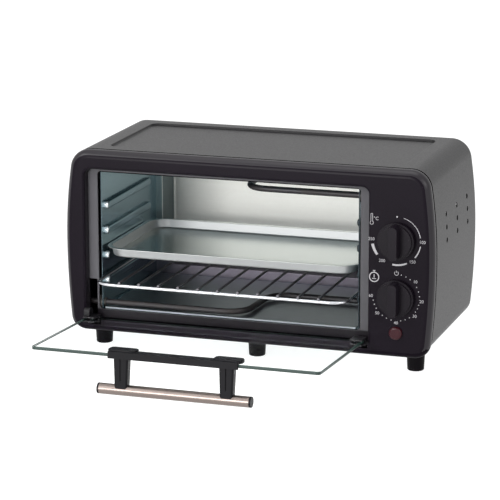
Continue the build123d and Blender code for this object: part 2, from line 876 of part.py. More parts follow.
# Inner leads: insulated wires that join the terminals, the controls and the elements
block_y = back_y - terminal_block_inset
block_front_y = block_y - block_length / 2
block_top_z = floor_z + sheet + block_height
tab_right_x = element_right + tab_length + lead_gap
tab_left_x = element_left - tab_length / 2
thermostat_rear_y = liner_y + thermostat_size[2] + lead_gap
timer_rear_y = liner_y + timer_size[2] + lead_gap
lamp_rear_y = liner_y + lamp_holder_length + lead_gap
live_x = dial_x - live_lead_side
live_y = block_y - terminal_pitch[1]
live_z = thermostat_z - live_lead_drop
return_x = gland_x + terminal_pitch[0] / 2
return_y = block_y + terminal_pitch[1]
return_z = timer_z + return_lead_rise
element_lead_x = dial_x + element_lead_side
element_lead_z = timer_z - element_lead_drop
lead_routes = [
    [
        (live_x, live_y, block_top_z + lead_gap),
        (live_x, live_y, live_z),
        (live_x, thermostat_rear_y, live_z),
    ],
    [
        (dial_x, front_y + upper_front_y, thermostat_z + thermostat_size[1] / 2 + lead_gap),
        (dial_x, front_y + upper_front_y, upper_element_z),
        (tab_right_x, front_y + upper_front_y, upper_element_z),
    ],
    [
        (tab_left_x, front_y + upper_back_y, upper_element_z - tab_width / 2 - lead_gap),
        (tab_left_x, front_y + upper_back_y, link_lead_z),
        (tab_left_x, front_y + lower_front_y, link_lead_z),
        (tab_left_x, front_y + lower_front_y, lower_element_z + tab_width / 2 + lead_gap),
    ],
    [
        (tab_right_x, front_y + lower_back_y, lower_element_z),
        (element_lead_x, front_y + lower_back_y, lower_element_z),
        (element_lead_x, front_y + lower_back_y, element_lead_z),
        (element_lead_x, timer_rear_y, element_lead_z),
    ],
    [
        (return_x, timer_rear_y, return_z),
        (return_x, return_y, return_z),
        (return_x, return_y, block_top_z + lead_gap),
    ],
]
lamp_lead_places = [
    (dial_x + side * lead_spacing / 2, lamp_z - lamp_lead_drop)
    for side in (-1, 1)
]
with BuildPart() as inner_leads:
    for route in lead_routes:
        with BuildLine() as lead_path:
            FilletPolyline(*route, radius=lead_bend)
        with BuildSketch(Plane(origin=lead_path.line @ 0, z_dir=lead_path.line % 0)):
            Circle(lead_radius)
        sweep(path=lead_path.line)
    with BuildSketch(at_depth(block_front_y - lead_gap)):
        with Locations(*lamp_lead_places):
            Circle(lead_radius)
    extrude(amount=block_front_y - lead_gap - lamp_rear_y)
save(inner_leads, "inner_leads")

# Feet: tapered mouldings in two rows of three, each held by a screw and a nut
foot_names = [
    f"foot_{row}_{place}"
    for row in ("front", "rear")
    for place in ("left", "middle", "right")
]
for (x, y), name in zip(foot_places, foot_names):
    with BuildPart() as foot:
        with BuildSketch(Plane(origin=(x, y, 0))):
            Circle(foot_base_radius)
        with BuildSketch(Plane(origin=(x, y, floor_z))):
            Circle(foot_top_radius)
        loft()
        fillet(foot.faces().sort_by(Axis.Z)[0].edges(), radius=foot_round)
        with BuildSketch(Plane(origin=(x, y, 0))):
            Circle(foot_screw_head_radius + screw_clearance)
        extrude(amount=foot_bore_depth, mode=Mode.SUBTRACT)
        with BuildSketch(Plane(origin=(x, y, foot_bore_depth))):
            Circle(foot_screw_radius + screw_clearance)
        extrude(amount=floor_z - foot_bore_depth, mode=Mode.SUBTRACT)
    save(foot, name)

with BuildPart() as foot_screws:
    with BuildSketch(Plane.XY.offset(foot_bore_depth)):
        with Locations(*foot_places):
            Circle(foot_screw_head_radius)
    extrude(amount=-foot_screw_head)
    with BuildSketch(Plane.XY.offset(foot_bore_depth)):
        with Locations(*foot_places):
            Circle(foot_screw_radius)
    extrude(amount=floor_z + sheet + foot_nut_height - foot_bore_depth)
save(foot_screws, "foot_screws")

with BuildPart() as foot_nuts:
    with BuildSketch(Plane.XY.offset(floor_z + sheet)):
        with Locations(*foot_places):
            RegularPolygon(foot_nut_width / 2, 6, major_radius=False)
            Circle(foot_screw_radius + screw_clearance, mode=Mode.SUBTRACT)
    extrude(amount=foot_nut_height)
save(foot_nuts, "foot_nuts")

# Door pane: bare toughened glass, drilled for the clips and the handle
glass_mid = -(glass_heel + glass_reach) / 2
clip_mid_x = clip_outer_x - clip_width / 2
post_places = [(-post_spread / 2, -post_s), (post_spread / 2, -post_s)]
clip_screw_places = [(-clip_mid_x, -clip_screw_at), (clip_mid_x, -clip_screw_at)]
with BuildPart() as door_glass:
    with BuildSketch(door.offset(glass_outer)):
        with Locations((0, glass_mid)):
            RectangleRounded(glass_width, glass_reach - glass_heel, glass_corner)
        with Locations(*post_places):
            Circle(post_screw_radius + glass_hole_clearance, mode=Mode.SUBTRACT)
        with Locations(*clip_screw_places):
            Circle(clip_screw_radius + glass_hole_clearance, mode=Mode.SUBTRACT)
    extrude(amount=glass_thickness)
save(door_glass, "door_glass")

# Hinge clips, folded over the pane's lower corners, and the pins they turn on
for side, name in ((-1, "hinge_clip_left"), (1, "hinge_clip_right")):
    with BuildPart() as hinge_clip:
        with BuildSketch(door_side(side * clip_mid_x - clip_width / 2)):
            with Locations(((clip_heel - clip_reach) / 2, (clip_under + clip_top) / 2)):
                Rectangle(clip_reach + clip_heel, clip_top - clip_under)
            Circle(hub_radius)
            slot_height = glass_thickness + 2 * clip_slack
            with Locations((-(glass_heel - clip_slack + clip_reach) / 2, pane_offset)):
                Rectangle(clip_reach - glass_heel + clip_slack, slot_height, mode=Mode.SUBTRACT)
            Circle(pin_radius + pin_clearance / 2, mode=Mode.SUBTRACT)
        extrude(amount=clip_width)
        with BuildSketch(door.offset(clip_under)):
            with Locations((side * clip_mid_x, -clip_screw_at)):
                Circle(clip_screw_radius + screw_clearance)
        extrude(amount=clip_top - clip_under, mode=Mode.SUBTRACT)
    save(hinge_clip, name)

with BuildPart() as hinge_pins:
    for side in (-1, 1):
        with BuildSketch(door_side(side * (clip_outer_x - pin_in_clip))):
            Circle(pin_radius)
        extrude(amount=side * (pin_in_clip + pin_out))
save(hinge_pins, "hinge_pins")

with BuildPart() as clip_screws:
    with BuildSketch(door.offset(clip_under)):
        with Locations(*clip_screw_places):
            Circle(clip_screw_radius)
    extrude(amount=clip_top - clip_under)
    with BuildSketch(door.offset(clip_under)):
        with Locations(*clip_screw_places):
            Circle(clip_screw_head_radius)
    extrude(amount=-clip_screw_head)
save(clip_screws, "clip_screws")

# Door lever: stands on the left clip and swings in through the slot as the door shuts
lever_x = -(recess_width - slot_width) / 2 - lever_width / 2
with BuildPart() as door_lever:
    with BuildSketch(door_side(lever_x)):
        with Locations((-(lever_near + lever_far) / 2, clip_top + lever_height / 2)):
            lever_face = Rectangle(lever_far - lever_near, lever_height)
        fillet(lever_face.vertices().group_by(Axis.Y)[-1], radius=lever_round)
    extrude(amount=lever_width)
save(door_lever, "door_lever")

# Handle
with BuildPart() as handle_base:
    base_length = handle_front_s - handle_base_rear
    with BuildSketch(door.offset(glass_inner)):
        with Locations((0, -(handle_base_rear + handle_front_s) / 2)):
            RectangleRounded(handle_base_width, base_length, handle_lip / 2)
    extrude(amount=handle_base_thickness)
    with BuildSketch(door.offset(glass_inner)):
        with Locations((0, -handle_front_s + handle_lip / 2)):
            RectangleRounded(handle_base_width, handle_lip, handle_lip / 2 - handle_lip_gap)
    extrude(amount=-handle_lip_drop)
    with BuildSketch(door.offset(glass_inner)):
        with Locations(*[(x, pad_length / 2 - pad_front_s) for x, _ in post_places]):
            RectangleRounded(pad_width, pad_length, pad_corner)
    extrude(amount=pad_thickness)
    pad_crowns = handle_base.faces().filter_by(door).sort_by(Axis(door.origin, door.z_dir))[-2:]
    fillet(pad_crowns.edges(), radius=pad_round)
    with BuildSketch(door.offset(glass_inner)):
        with Locations(*post_places):
            Circle(post_screw_radius + screw_clearance)
    extrude(amount=handle_base_thickness, mode=Mode.SUBTRACT)
save(handle_base, "handle_base")

for x, name in ((-post_spread / 2, "handle_post_left"), (post_spread / 2, "handle_post_right")):
    with BuildPart() as handle_post:
        with BuildSketch(door.offset(glass_outer)):
            with Locations((x, -post_s)):
                RectangleRounded(*post_top, post_corner)
        with BuildSketch(door.offset(-post_end)):
            with Locations((x, -post_s)):
                RectangleRounded(*post_foot, post_corner)
        loft()
        with BuildSketch(door.offset(-post_groove_end)):
            with Locations((x, -post_s - post_foot[1] / 2)):
                Rectangle(post_groove, 2 * post_groove_depth)
        extrude(amount=post_groove_end + glass_outer, mode=Mode.SUBTRACT)
        with BuildSketch(door_side(x - post_top[0])):
            with Locations((-post_s, -bar_drop)):
                Circle(bar_radius + bar_clearance)
        extrude(amount=2 * post_top[0], mode=Mode.SUBTRACT)
        with BuildSketch(door.offset(glass_outer)):
            with Locations((x, -post_s)):
                Circle(post_screw_radius + screw_clearance)
        extrude(amount=-post_end, mode=Mode.SUBTRACT)
        with BuildSketch(door.offset(-post_screw_head_at)):
            with Locations((x, -post_s)):
                Circle(post_screw_head_radius + screw_clearance)
        extrude(amount=-post_end, mode=Mode.SUBTRACT)
    save(handle_post, name)

with BuildPart() as post_screws:
    with BuildSketch(door.offset(-post_screw_head_at)):
        with Locations(*post_places):
            Circle(post_screw_radius)
    extrude(amount=post_screw_head_at + glass_inner + handle_base_thickness - screw_clearance)
    with BuildSketch(door.offset(-post_screw_head_at)):
        with Locations(*post_places):
            Circle(post_screw_head_radius)
    extrude(amount=-post_screw_head)
save(post_screws, "post_screws")

tube_half = bar_length / 2 - bar_cap
with BuildPart() as handle_bar:
    with BuildSketch(door_side(-tube_half)):
        with Locations((-post_s, -bar_drop)):
            Circle(bar_radius)
            Circle(bar_radius - bar_wall, mode=Mode.SUBTRACT)
    extrude(amount=2 * tube_half)
save(handle_bar, "handle_bar")

with BuildPart() as bar_caps:
    for side in (-1, 1):
        with BuildSketch(door_side(side * tube_half)):
            with Locations((-post_s, -bar_drop)):
                Circle(bar_radius)
        extrude(amount=side * bar_cap)
        with BuildSketch(door_side(side * tube_half)):
            with Locations((-post_s, -bar_drop)):
                Circle(bar_radius - bar_wall - bar_clearance)
        extrude(amount=-side * bar_plug)
save(bar_caps, "bar_caps")

# Wire rack: a bent frame wire with straight bars welded on top of it
rack_half = cavity_width / 2 - rack_side_gap - rack_wire
rack_z = rib_base_z + rib_height / 2 + rest_clearance + rack_wire
rack_front_y = front_y - rack_out + rack_wire
rack_back_y = rack_front_y + rack_depth
with BuildPart() as rack_frame:
    with BuildLine(Plane.XY.offset(rack_z)) as frame_path:
        FilletPolyline(
            (door_x + rack_half, rack_front_y),
            (door_x + rack_half, rack_back_y),
            (door_x - rack_half, rack_back_y),
            (door_x - rack_half, rack_front_y),
            radius=rack_corner,
            close=True,
        )
    with BuildSketch(Plane(origin=frame_path.line @ 0, z_dir=frame_path.line % 0)):
        Circle(rack_wire)
    sweep(path=frame_path.line)
save(rack_frame, "rack_frame")

with BuildPart() as rack_bars:
    with BuildSketch(at_depth(rack_back_y + rack_wire)):
        with Locations((door_x, rack_z + rack_wire + rack_bar)):
            with GridLocations(rack_bar_pitch, 1, rack_bar_count, 1):
                Circle(rack_bar)
    extrude(amount=rack_depth + 2 * rack_wire)
save(rack_bars, "rack_bars")

# Baking tray: a shallow pressed pan with a flat rim, turned down at both sides onto the ribs
rib_3_top = rib_base_z + rib_pitch + rib_height / 2
tray_top_z = rib_3_top + rest_clearance + tray_skirt_height
tray_width = cavity_width - 2 * tray_side_gap
tray_y = front_y + tray_front + tray_length / 2


def tray_section(inset, z):
    """The tray's rounded outline at height z, drawn in by inset."""
    with BuildSketch(Plane.XY.offset(z)) as section:
        with Locations((door_x, tray_y)):
            corner = max(tray_corner - inset, tray_sheet)
            RectangleRounded(tray_width - 2 * inset, tray_length - 2 * inset, corner)
    return section.sketch


with BuildPart() as tray_pan:
    add(tray_section(tray_rim_width, tray_top_z))
    add(tray_section(tray_rim_width + tray_draft, tray_top_z - tray_depth))
    loft()
    fillet(tray_pan.faces().sort_by(Axis.Z)[0].edges(), radius=tray_base_round)

with BuildPart() as tray_hollow:
    add(tray_section(tray_rim_width + tray_sheet, tray_top_z))
    add(tray_section(tray_rim_width + tray_draft + tray_sheet, tray_top_z - tray_depth + tray_sheet))
    loft()
    fillet(tray_hollow.faces().sort_by(Axis.Z)[0].edges(), radius=tray_base_round - tray_sheet)

with BuildPart() as baking_tray:
    add(tray_section(0, tray_top_z))
    extrude(amount=-tray_sheet)
    skirt_x = (tray_width - tray_sheet) / 2
    with BuildSketch(Plane.XY.offset(tray_top_z - tray_skirt_height)):
        with Locations((door_x - skirt_x, tray_y), (door_x + skirt_x, tray_y)):
            Rectangle(tray_sheet, tray_length - 2 * tray_corner)
    extrude(amount=tray_skirt_height)
    add(tray_pan.part)
    add(tray_hollow.part, mode=Mode.SUBTRACT)
save(baking_tray, "baking_tray")

# Crumb tray: a flat sheet on the floor of the cooking space with a folded front hem
crumb_width = cavity_width - 2 * crumb_side_gap
with BuildPart() as crumb_tray:
    with BuildSketch(Plane.XY.offset(cavity_floor_z)):
        with Locations((door_x, front_y + crumb_front + crumb_length / 2)):
            Rectangle(crumb_width, crumb_length)
    extrude(amount=crumb_sheet)
    with BuildSketch(Plane.XY.offset(cavity_floor_z + crumb_sheet)):
        with Locations((door_x, front_y + crumb_front + crumb_hem / 2)):
            Rectangle(crumb_width, crumb_hem)
    extrude(amount=crumb_sheet)
save(crumb_tray, "crumb_tray")
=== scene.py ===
"""The looks of a small countertop toaster oven with its bare glass door let down.

Metres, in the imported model's frame: X to the right along the front, Y to the back, Z up from
the counter. The sections follow the oven as it is put together, from the base plate out.
"""

from math import cos, radians, sin

import bmesh
import bpy
from mathutils import Matrix, Quaternion, Vector


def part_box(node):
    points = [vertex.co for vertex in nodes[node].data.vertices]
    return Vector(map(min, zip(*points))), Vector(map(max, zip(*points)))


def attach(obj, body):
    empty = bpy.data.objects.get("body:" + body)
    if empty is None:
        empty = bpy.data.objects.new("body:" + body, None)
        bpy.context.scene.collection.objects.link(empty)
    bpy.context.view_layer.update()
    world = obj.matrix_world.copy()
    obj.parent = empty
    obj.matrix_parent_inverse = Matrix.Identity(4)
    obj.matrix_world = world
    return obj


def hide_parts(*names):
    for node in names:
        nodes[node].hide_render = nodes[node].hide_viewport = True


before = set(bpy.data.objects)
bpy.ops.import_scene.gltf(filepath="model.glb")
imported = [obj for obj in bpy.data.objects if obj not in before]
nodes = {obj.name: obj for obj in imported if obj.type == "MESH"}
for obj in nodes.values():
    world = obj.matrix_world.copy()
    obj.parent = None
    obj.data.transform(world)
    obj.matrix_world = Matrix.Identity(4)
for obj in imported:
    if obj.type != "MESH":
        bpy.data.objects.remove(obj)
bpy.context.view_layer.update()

mm = 0.001


# Base plate
# A flat blank of galvanised steel, punched for the feet and the vents. It closes the housing below,
# and the feet are screwed to it.
def tone(red, green, blue):
    """A colour from its display values, 0 to 255, as the shader wants it."""
    shares = [value / 255 for value in (red, green, blue)]
    linear = [share / 12.92 if share <= 0.04045 else ((share + 0.055) / 1.055) ** 2.4 for share in shares]
    return (*linear, 1.0)


def add_node(tree, kind, inputs=(), **settings):
    """A node of that kind, with its settings and its input values or links set."""
    made = tree.nodes.new(kind)
    for name, value in settings.items():
        setattr(made, name, value)
    for name, value in dict(inputs).items():
        socket = made.inputs[name]
        if isinstance(value, bpy.types.NodeSocket):
            tree.links.new(value, socket)
        else:
            socket.default_value = value
    return made


def noise(tree, place, scale, detail):
    """Soft noise of that scale."""
    given = {"Vector": place, "Scale": scale, "Detail": detail}
    return add_node(tree, "ShaderNodeTexNoise", given).outputs[0]


def calc(tree, operation, *values):
    """One step of arithmetic on numbers or sockets."""
    return add_node(tree, "ShaderNodeMath", dict(enumerate(values)), operation=operation).outputs[0]


def ranged(tree, value, low, high, to_low=0.0, to_high=1.0):
    """A value carried over from one range to another and kept inside it."""
    given = {"Value": value, "From Min": low, "From Max": high, "To Min": to_low, "To Max": to_high}
    return add_node(tree, "ShaderNodeMapRange", given).outputs[0]


def shaded(tree, colour, share):
    """A colour made darker or lighter by a share."""
    return add_node(tree, "ShaderNodeVectorMath", {0: colour, "Scale": share}, operation="SCALE").outputs[0]


def new_effect(name, given):
    """A shader node group with named inputs that gives a colour, a roughness and a height."""
    group = bpy.data.node_groups.new(name, "ShaderNodeTree")
    for label, kind in given.items():
        group.interface.new_socket(label, in_out="INPUT", socket_type=f"NodeSocket{kind}")
    for label, kind in {"Colour": "Color", "Roughness": "Float", "Height": "Float"}.items():
        group.interface.new_socket(label, in_out="OUTPUT", socket_type=f"NodeSocket{kind}")
    return group, group.nodes.new("NodeGroupInput").outputs


def rolled_sheet_effect():
    """Sheet metal off the mill: streaks along the rolling, faint crystal spangle, uneven shine."""
    group, entry = new_effect(
        "rolled_sheet",
        {
            "Place": "Vector",
            "Colour": "Color",
            "Stretch": "Vector",
            "Spangle": "Float",
            "Unevenness": "Float",
            "Roughness": "Float",
        },
    )
    given = {0: entry["Place"], 1: entry["Stretch"]}
    along = add_node(group, "ShaderNodeVectorMath", given, operation="MULTIPLY").outputs[0]
    streak = noise(group, along, scale=14.0, detail=4.0)
    given = {"Vector": entry["Place"], "Scale": entry["Spangle"]}
    crystal = add_node(group, "ShaderNodeTexVoronoi", given).outputs["Color"]
    cell = add_node(group, "ShaderNodeSeparateColor", {"Color": crystal}).outputs[0]
    cell_share = 0.35
    cloud = noise(group, entry["Place"], scale=16.0, detail=3.0)
    grey = calc(group, "MULTIPLY_ADD", cell, cell_share, calc(group, "ADD", streak, cloud))
    darkest = calc(group, "SUBTRACT", 1.0, entry["Unevenness"])
    lightest = calc(group, "ADD", 1.0, entry["Unevenness"])
    share = ranged(group, grey, low=0.6, high=1.7, to_low=darkest, to_high=lightest)
    colour = shaded(group, entry["Colour"], share)
    roughness = calc(group, "MULTIPLY", entry["Roughness"], share)
    add_node(group, "NodeGroupOutput", {"Colour": colour, "Roughness": roughness, "Height": grey})
    return group


def new_finish(name, constants):
    """A material with constants on its shader; gives it, its tree, shader and Object coordinates."""
    finish = bpy.data.materials.new(name)
    finish.use_nodes = True
    tree = finish.node_tree
    shader = tree.nodes["Principled BSDF"]
    for socket, value in constants.items():
        shader.inputs[socket].default_value = value
    place = add_node(tree, "ShaderNodeTexCoord").outputs["Object"]
    return finish, tree, shader, place


def effect_finish(name, constants, effect, bump, given):
    """A material whose colour, roughness and bump come from an effect with these inputs."""
    finish, tree, shader, place = new_finish(name, constants)
    made = add_node(tree, "ShaderNodeGroup", {"Place": place, **given}, node_tree=effect).outputs
    relief = {"Height": made["Height"], "Strength": bump, "Distance": bump_depth}
    normal = add_node(tree, "ShaderNodeBump", relief).outputs["Normal"]
    tree.links.new(made["Colour"], shader.inputs["Base Color"])
    tree.links.new(made["Roughness"], shader.inputs["Roughness"])
    tree.links.new(normal, shader.inputs["Normal"])
    return finish


def sheet_finish(name, colour, stretch, roughness, unevenness=0.12, spangle=220.0, bump=0.05, metal=1.0):
    """Bare sheet metal, rolled along the axis that stretch leaves longest."""
    given = {
        "Colour": colour,
        "Stretch": stretch,
        "Spangle": spangle,
        "Unevenness": unevenness,
        "Roughness": roughness,
    }
    return effect_finish(name, {"Metallic": metal}, rolled_sheet, bump, given)


def dress(finish, *names):
    """Puts a finish on CAD nodes that keep their own shape."""
    for name in names:
        for place in nodes[name].material_slots:
            place.material = finish


bump_depth = 0.1 * mm
rolled_sheet = rolled_sheet_effect()
rolled_across = (2, 40, 40)
zinc = sheet_finish("galvanised_sheet", tone(196, 205, 207), rolled_across, roughness=0.36)
dress(zinc, "base_plate")


# Liner walls, roof and floor
# Four galvanised sheets round the cooking space, all tabbed to the frame. The side walls are
# pressed with the ribs that carry the rack and the tray. The left wall's rib ends have a painted
# highlight, a near-white finish.
def rounded_copy(name, node, width, finish, body, segments=3, wider=None):
    """A CAD node's copy with flat faces joined and sharp edges rounded, in place of the node.

    wider is a larger width and a test of a point, for the edges that are rounded more.
    """
    shape = bmesh.new()
    shape.from_mesh(nodes[node].data)
    bmesh.ops.remove_doubles(shape, verts=shape.verts, dist=weld_reach)
    bmesh.ops.dissolve_limit(shape, angle_limit=flat_angle, verts=shape.verts, edges=shape.edges)
    rounds = [(width, lambda point: True)]
    if wider:
        rounds.insert(0, wider)
    for offset, chosen in rounds:
        edges = [
            edge
            for edge in shape.edges
            if edge.calc_face_angle(0) > sharp_angle and all(chosen(vert.co) for vert in edge.verts)
        ]
        bmesh.ops.bevel(
            shape,
            geom=edges,
            offset=offset,
            offset_type="OFFSET",
            segments=segments,
            profile=0.5,
            affect="EDGES",
            clamp_overlap=True,
        )
    for face in shape.faces:
        face.smooth = True
    mesh = bpy.data.meshes.new(name)
    shape.to_mesh(mesh)
    shape.free()
    mesh.set_sharp_from_angle(angle=sharp_angle)
    mesh.materials.append(finish)
    piece = bpy.data.objects.new(name, mesh)
    bpy.context.collection.objects.link(piece)
    even = piece.modifiers.new("even shading", "WEIGHTED_NORMAL")
    even.keep_sharp = True
    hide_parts(node)
    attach(piece, body)
    return piece


def refinish(piece, finish, chosen):
    """Gives a second finish to the faces of a piece that pass a test."""
    piece.data.materials.append(finish)
    place = len(piece.data.materials) - 1
    for face in piece.data.polygons:
        if chosen(face):
            face.material_index = place


weld_reach = 0.001 * mm
flat_angle = radians(0.2)
sharp_angle = radians(35)
sheet_round = 0.2 * mm
rolled_back = (40, 2, 40)
liner_zinc = sheet_finish(
    "liner_sheet", tone(130, 155, 164), rolled_back, roughness=0.24, unevenness=0.08, spangle=260.0
)
rib_metal = {"unevenness": 0.03, "spangle": 260.0, "bump": 0.01}
# Painted highlight: a near-white finish for the sloping front ends of the left wall's ribs
painted_rib_highlight = sheet_finish("rib_end_highlight", tone(238, 242, 243), rolled_back, roughness=0.3, **rib_metal)
edge_metal = {"unevenness": 0.05, "spangle": 260.0, "bump": 0.01}
cut_edge = sheet_finish("cut_edge", tone(52, 58, 62), rolled_back, roughness=0.5, **edge_metal)
dress(liner_zinc, "liner_roof", "liner_floor")
panel_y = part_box("front_bezel")[0].y
rib_front = panel_y + 19 * mm
rib_back = panel_y + 26 * mm

# Parts of a face's normal along an axis, from 0 for edge-on to 1 for square on
sloping = 0.12
square_on = 0.9


def on_rib_end(face):
    """True on the sloping front ends of the ribs."""
    return face.normal.y < -sloping and rib_front < face.center.y < rib_back


def on_front_edge(face):
    """True on the cut front edge of a wall."""
    return face.normal.y < -square_on and face.center.y < rib_front


# The left wall's rib ends take the painted highlight; the right wall's take the cut edge finish
for side, rib_end in {"left": painted_rib_highlight, "right": cut_edge}.items():
    wall = rounded_copy(
        f"{side}_wall", f"liner_{side}", sheet_round, liner_zinc, "housing", segments=1
    )
    refinish(wall, rib_end, on_rib_end)
    refinish(wall, cut_edge, on_front_edge)


# Back of the cooking space, rear panel and its screws
# Two aluminised sheets. The inner one is pressed out into a bulge for a deeper cooking space. Its
# lower part has painted shade below the tray, and its flat margin and the bulge's side walls have
# darker copies of its finish as painted shade. The outer one fits round the bulge, is slotted for
# air and has cross-head screws round its edge.
def blend(tree, share, first, second):
    """One colour that turns into another as a share goes from 0 to 1."""
    given = {"Factor": share, "A": first, "B": second}
    return add_node(tree, "ShaderNodeMix", given, data_type="RGBA").outputs["Result"]


def darker_below(finish, dark, low, high):
    """Paints shade into a finish below a height: another colour there; the change runs from low to high."""
    tree = finish.node_tree
    effect = next(node for node in tree.nodes if node.type == "GROUP")
    place = next(node for node in tree.nodes if node.type == "TEX_COORD").outputs["Object"]
    height = add_node(tree, "ShaderNodeSeparateXYZ", {0: place}).outputs["Z"]
    above = ranged(tree, height, low, high)
    colour = effect.inputs["Colour"]
    tree.links.new(blend(tree, above, dark, tuple(colour.default_value)), colour)


outer_metal = {"unevenness": 0.08, "spangle": 240.0, "bump": 0.03}
rear_sheet = sheet_finish(
    "aluminised_sheet", tone(186, 188, 188), rolled_across, roughness=0.36, **outer_metal
)
inner_metal = {"unevenness": 0.03, "spangle": 300.0, "bump": 0.01, "metal": 0.4}
inner_sheet = sheet_finish("inner_sheet", tone(254, 253, 247), rolled_across, roughness=0.5, **inner_metal)
# Painted shade: a darker copy of the sheet's finish for the flat margin round the bulge
ring_metal = {"unevenness": 0.04, "spangle": 300.0, "bump": 0.01, "metal": 0.7}
shaded_ring_sheet = sheet_finish("rear_ring_shade", tone(150, 164, 165), rolled_across, roughness=0.4, **ring_metal)
# Painted shade below the tray: the inner face and its margin turn darker from this height down
tray_shade_low = 60 * mm
tray_shade_high = 84 * mm
darker_below(inner_sheet, tone(118, 112, 122), tray_shade_low, tray_shade_high)
darker_below(shaded_ring_sheet, tone(112, 106, 116), tray_shade_low, tray_shade_high)
# Painted shade: a darker copy of the sheet's finish for the bulge's side walls
shaded_side_sheet = sheet_finish("bulge_side_shade", tone(116, 129, 132), rolled_back, roughness=0.32, **edge_metal)
dress(rear_sheet, "rear_panel")
bulged_back = rounded_copy(
    "bulged_back", "liner_back", sheet_round, rear_sheet, "housing", segments=1
)
bulge_low, bulge_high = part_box("liner_back")
bulge_middle = (bulge_low + bulge_high) / 2
ring_depth = 0.2 * mm
edge_on = 0.05
steep = 0.85


def inside(face):
    """True on the side of the bulged sheet that faces the cooking space."""
    if abs(face.normal.y) > edge_on:
        return face.normal.y < 0
    return face.normal.dot(bulge_middle - face.center) > 0


refinish(bulged_back, inner_sheet, inside)
# The margin and the bulge's side walls take their painted shade finishes
refinish(bulged_back, shaded_ring_sheet, lambda face: face.center.y < bulge_low.y + ring_depth)
refinish(bulged_back, shaded_side_sheet, lambda face: inside(face) and abs(face.normal.x) > steep)


def solid_boxes(name):
    """The lowest and highest corner of each separate solid in a CAD node."""
    shape = bmesh.new()
    shape.from_mesh(nodes[name].data)
    bmesh.ops.remove_doubles(shape, verts=shape.verts, dist=weld_reach)
    waiting = set(shape.verts)
    boxes = []
    while waiting:
        reached = [waiting.pop()]
        for vert in reached:
            beside = {edge.other_vert(vert) for edge in vert.link_edges} & waiting
            waiting -= beside
            reached.extend(beside)
        low = Vector([min(vert.co[axis] for vert in reached) for axis in range(3)])
        high = Vector([max(vert.co[axis] for vert in reached) for axis in range(3)])
        boxes.append((low, high))
    shape.free()
    return boxes


def screw_tree():
    """A node tree that sets a cross-head screw on each point, its head towards +Z of the point."""
    tree = bpy.data.node_groups.new("cross_head_screws", "GeometryNodeTree")
    kinds = {
        "Points": "Geometry",
        "Head Radius": "Float",
        "Head Height": "Float",
        "Shank Radius": "Float",
        "Shank Length": "Float",
        "Lie": "Rotation",
        "Finish": "Material",
    }
    for label, kind in kinds.items():
        tree.interface.new_socket(label, in_out="INPUT", socket_type=f"NodeSocket{kind}")
    tree.interface.new_socket("Screws", in_out="OUTPUT", socket_type="NodeSocketGeometry")
    entry = tree.nodes.new("NodeGroupInput").outputs

    def times(label, factor):
        return calc(tree, "MULTIPLY", entry[label], factor)

    def made(kind, inputs):
        return add_node(tree, kind, inputs).outputs[0]

    def lifted(mesh, height):
        offset = made("ShaderNodeCombineXYZ", {"Z": height})
        return made("GeometryNodeTransform", {"Geometry": mesh, "Translation": offset})

    # The head is a low cone frustum, the shank a rod and the recess two crossed blades
    head = made(
        "GeometryNodeMeshCone",
        {
            "Vertices": 32,
            "Side Segments": 3,
            "Radius Top": times("Head Radius", 0.72),
            "Radius Bottom": entry["Head Radius"],
            "Depth": entry["Head Height"],
        },
    )
    recessed = add_node(tree, "GeometryNodeMeshBoolean", {"Mesh 1": head}, operation="DIFFERENCE")
    blade_size = times("Head Radius", 1.1)
    blade_width = times("Head Radius", 0.24)
    blade_lift = times("Head Height", 0.95)
    for x, y in ((blade_size, blade_width), (blade_width, blade_size)):
        size = made("ShaderNodeCombineXYZ", {"X": x, "Y": y, "Z": entry["Head Height"]})
        blade = made("GeometryNodeMeshCube", {"Size": size})
        tree.links.new(lifted(blade, blade_lift), recessed.inputs["Mesh 2"])
    rod = made(
        "GeometryNodeMeshCylinder",
        {"Vertices": 20, "Radius": entry["Shank Radius"], "Depth": entry["Shank Length"]},
    )
    shank = lifted(rod, times("Shank Length", -0.5))
    joined = tree.nodes.new("GeometryNodeJoinGeometry")
    tree.links.new(recessed.outputs["Mesh"], joined.inputs[0])
    tree.links.new(shank, joined.inputs[0])
    points = made("GeometryNodeMeshToPoints", {"Mesh": entry["Points"]})
    stood = made(
        "GeometryNodeInstanceOnPoints",
        {"Points": points, "Instance": joined.outputs[0], "Rotation": entry["Lie"]},
    )
    whole = made("GeometryNodeRealizeInstances", {"Geometry": stood})
    painted = made("GeometryNodeSetMaterial", {"Geometry": whole, "Material": entry["Finish"]})
    add_node(tree, "NodeGroupOutput", {"Screws": painted})
    return tree


def nodes_piece(name, points, tree, values):
    """An object made from points by a node tree, turned into a plain mesh with no modifier."""
    seed = bpy.data.meshes.new(name)
    seed.from_pydata(points, [], [])
    piece = bpy.data.objects.new(name, seed)
    bpy.context.collection.objects.link(piece)
    modifier = piece.modifiers.new(name, "NODES")
    modifier.node_group = tree
    sockets = {item.name: item.identifier for item in tree.interface.items_tree if item.in_out == "INPUT"}
    for label, value in values.items():
        modifier[sockets[label]] = value
    bpy.context.view_layer.update()
    evaluated = piece.evaluated_get(bpy.context.evaluated_depsgraph_get())
    made = bpy.data.meshes.new_from_object(evaluated)
    piece.modifiers.remove(modifier)
    piece.data = made
    return piece


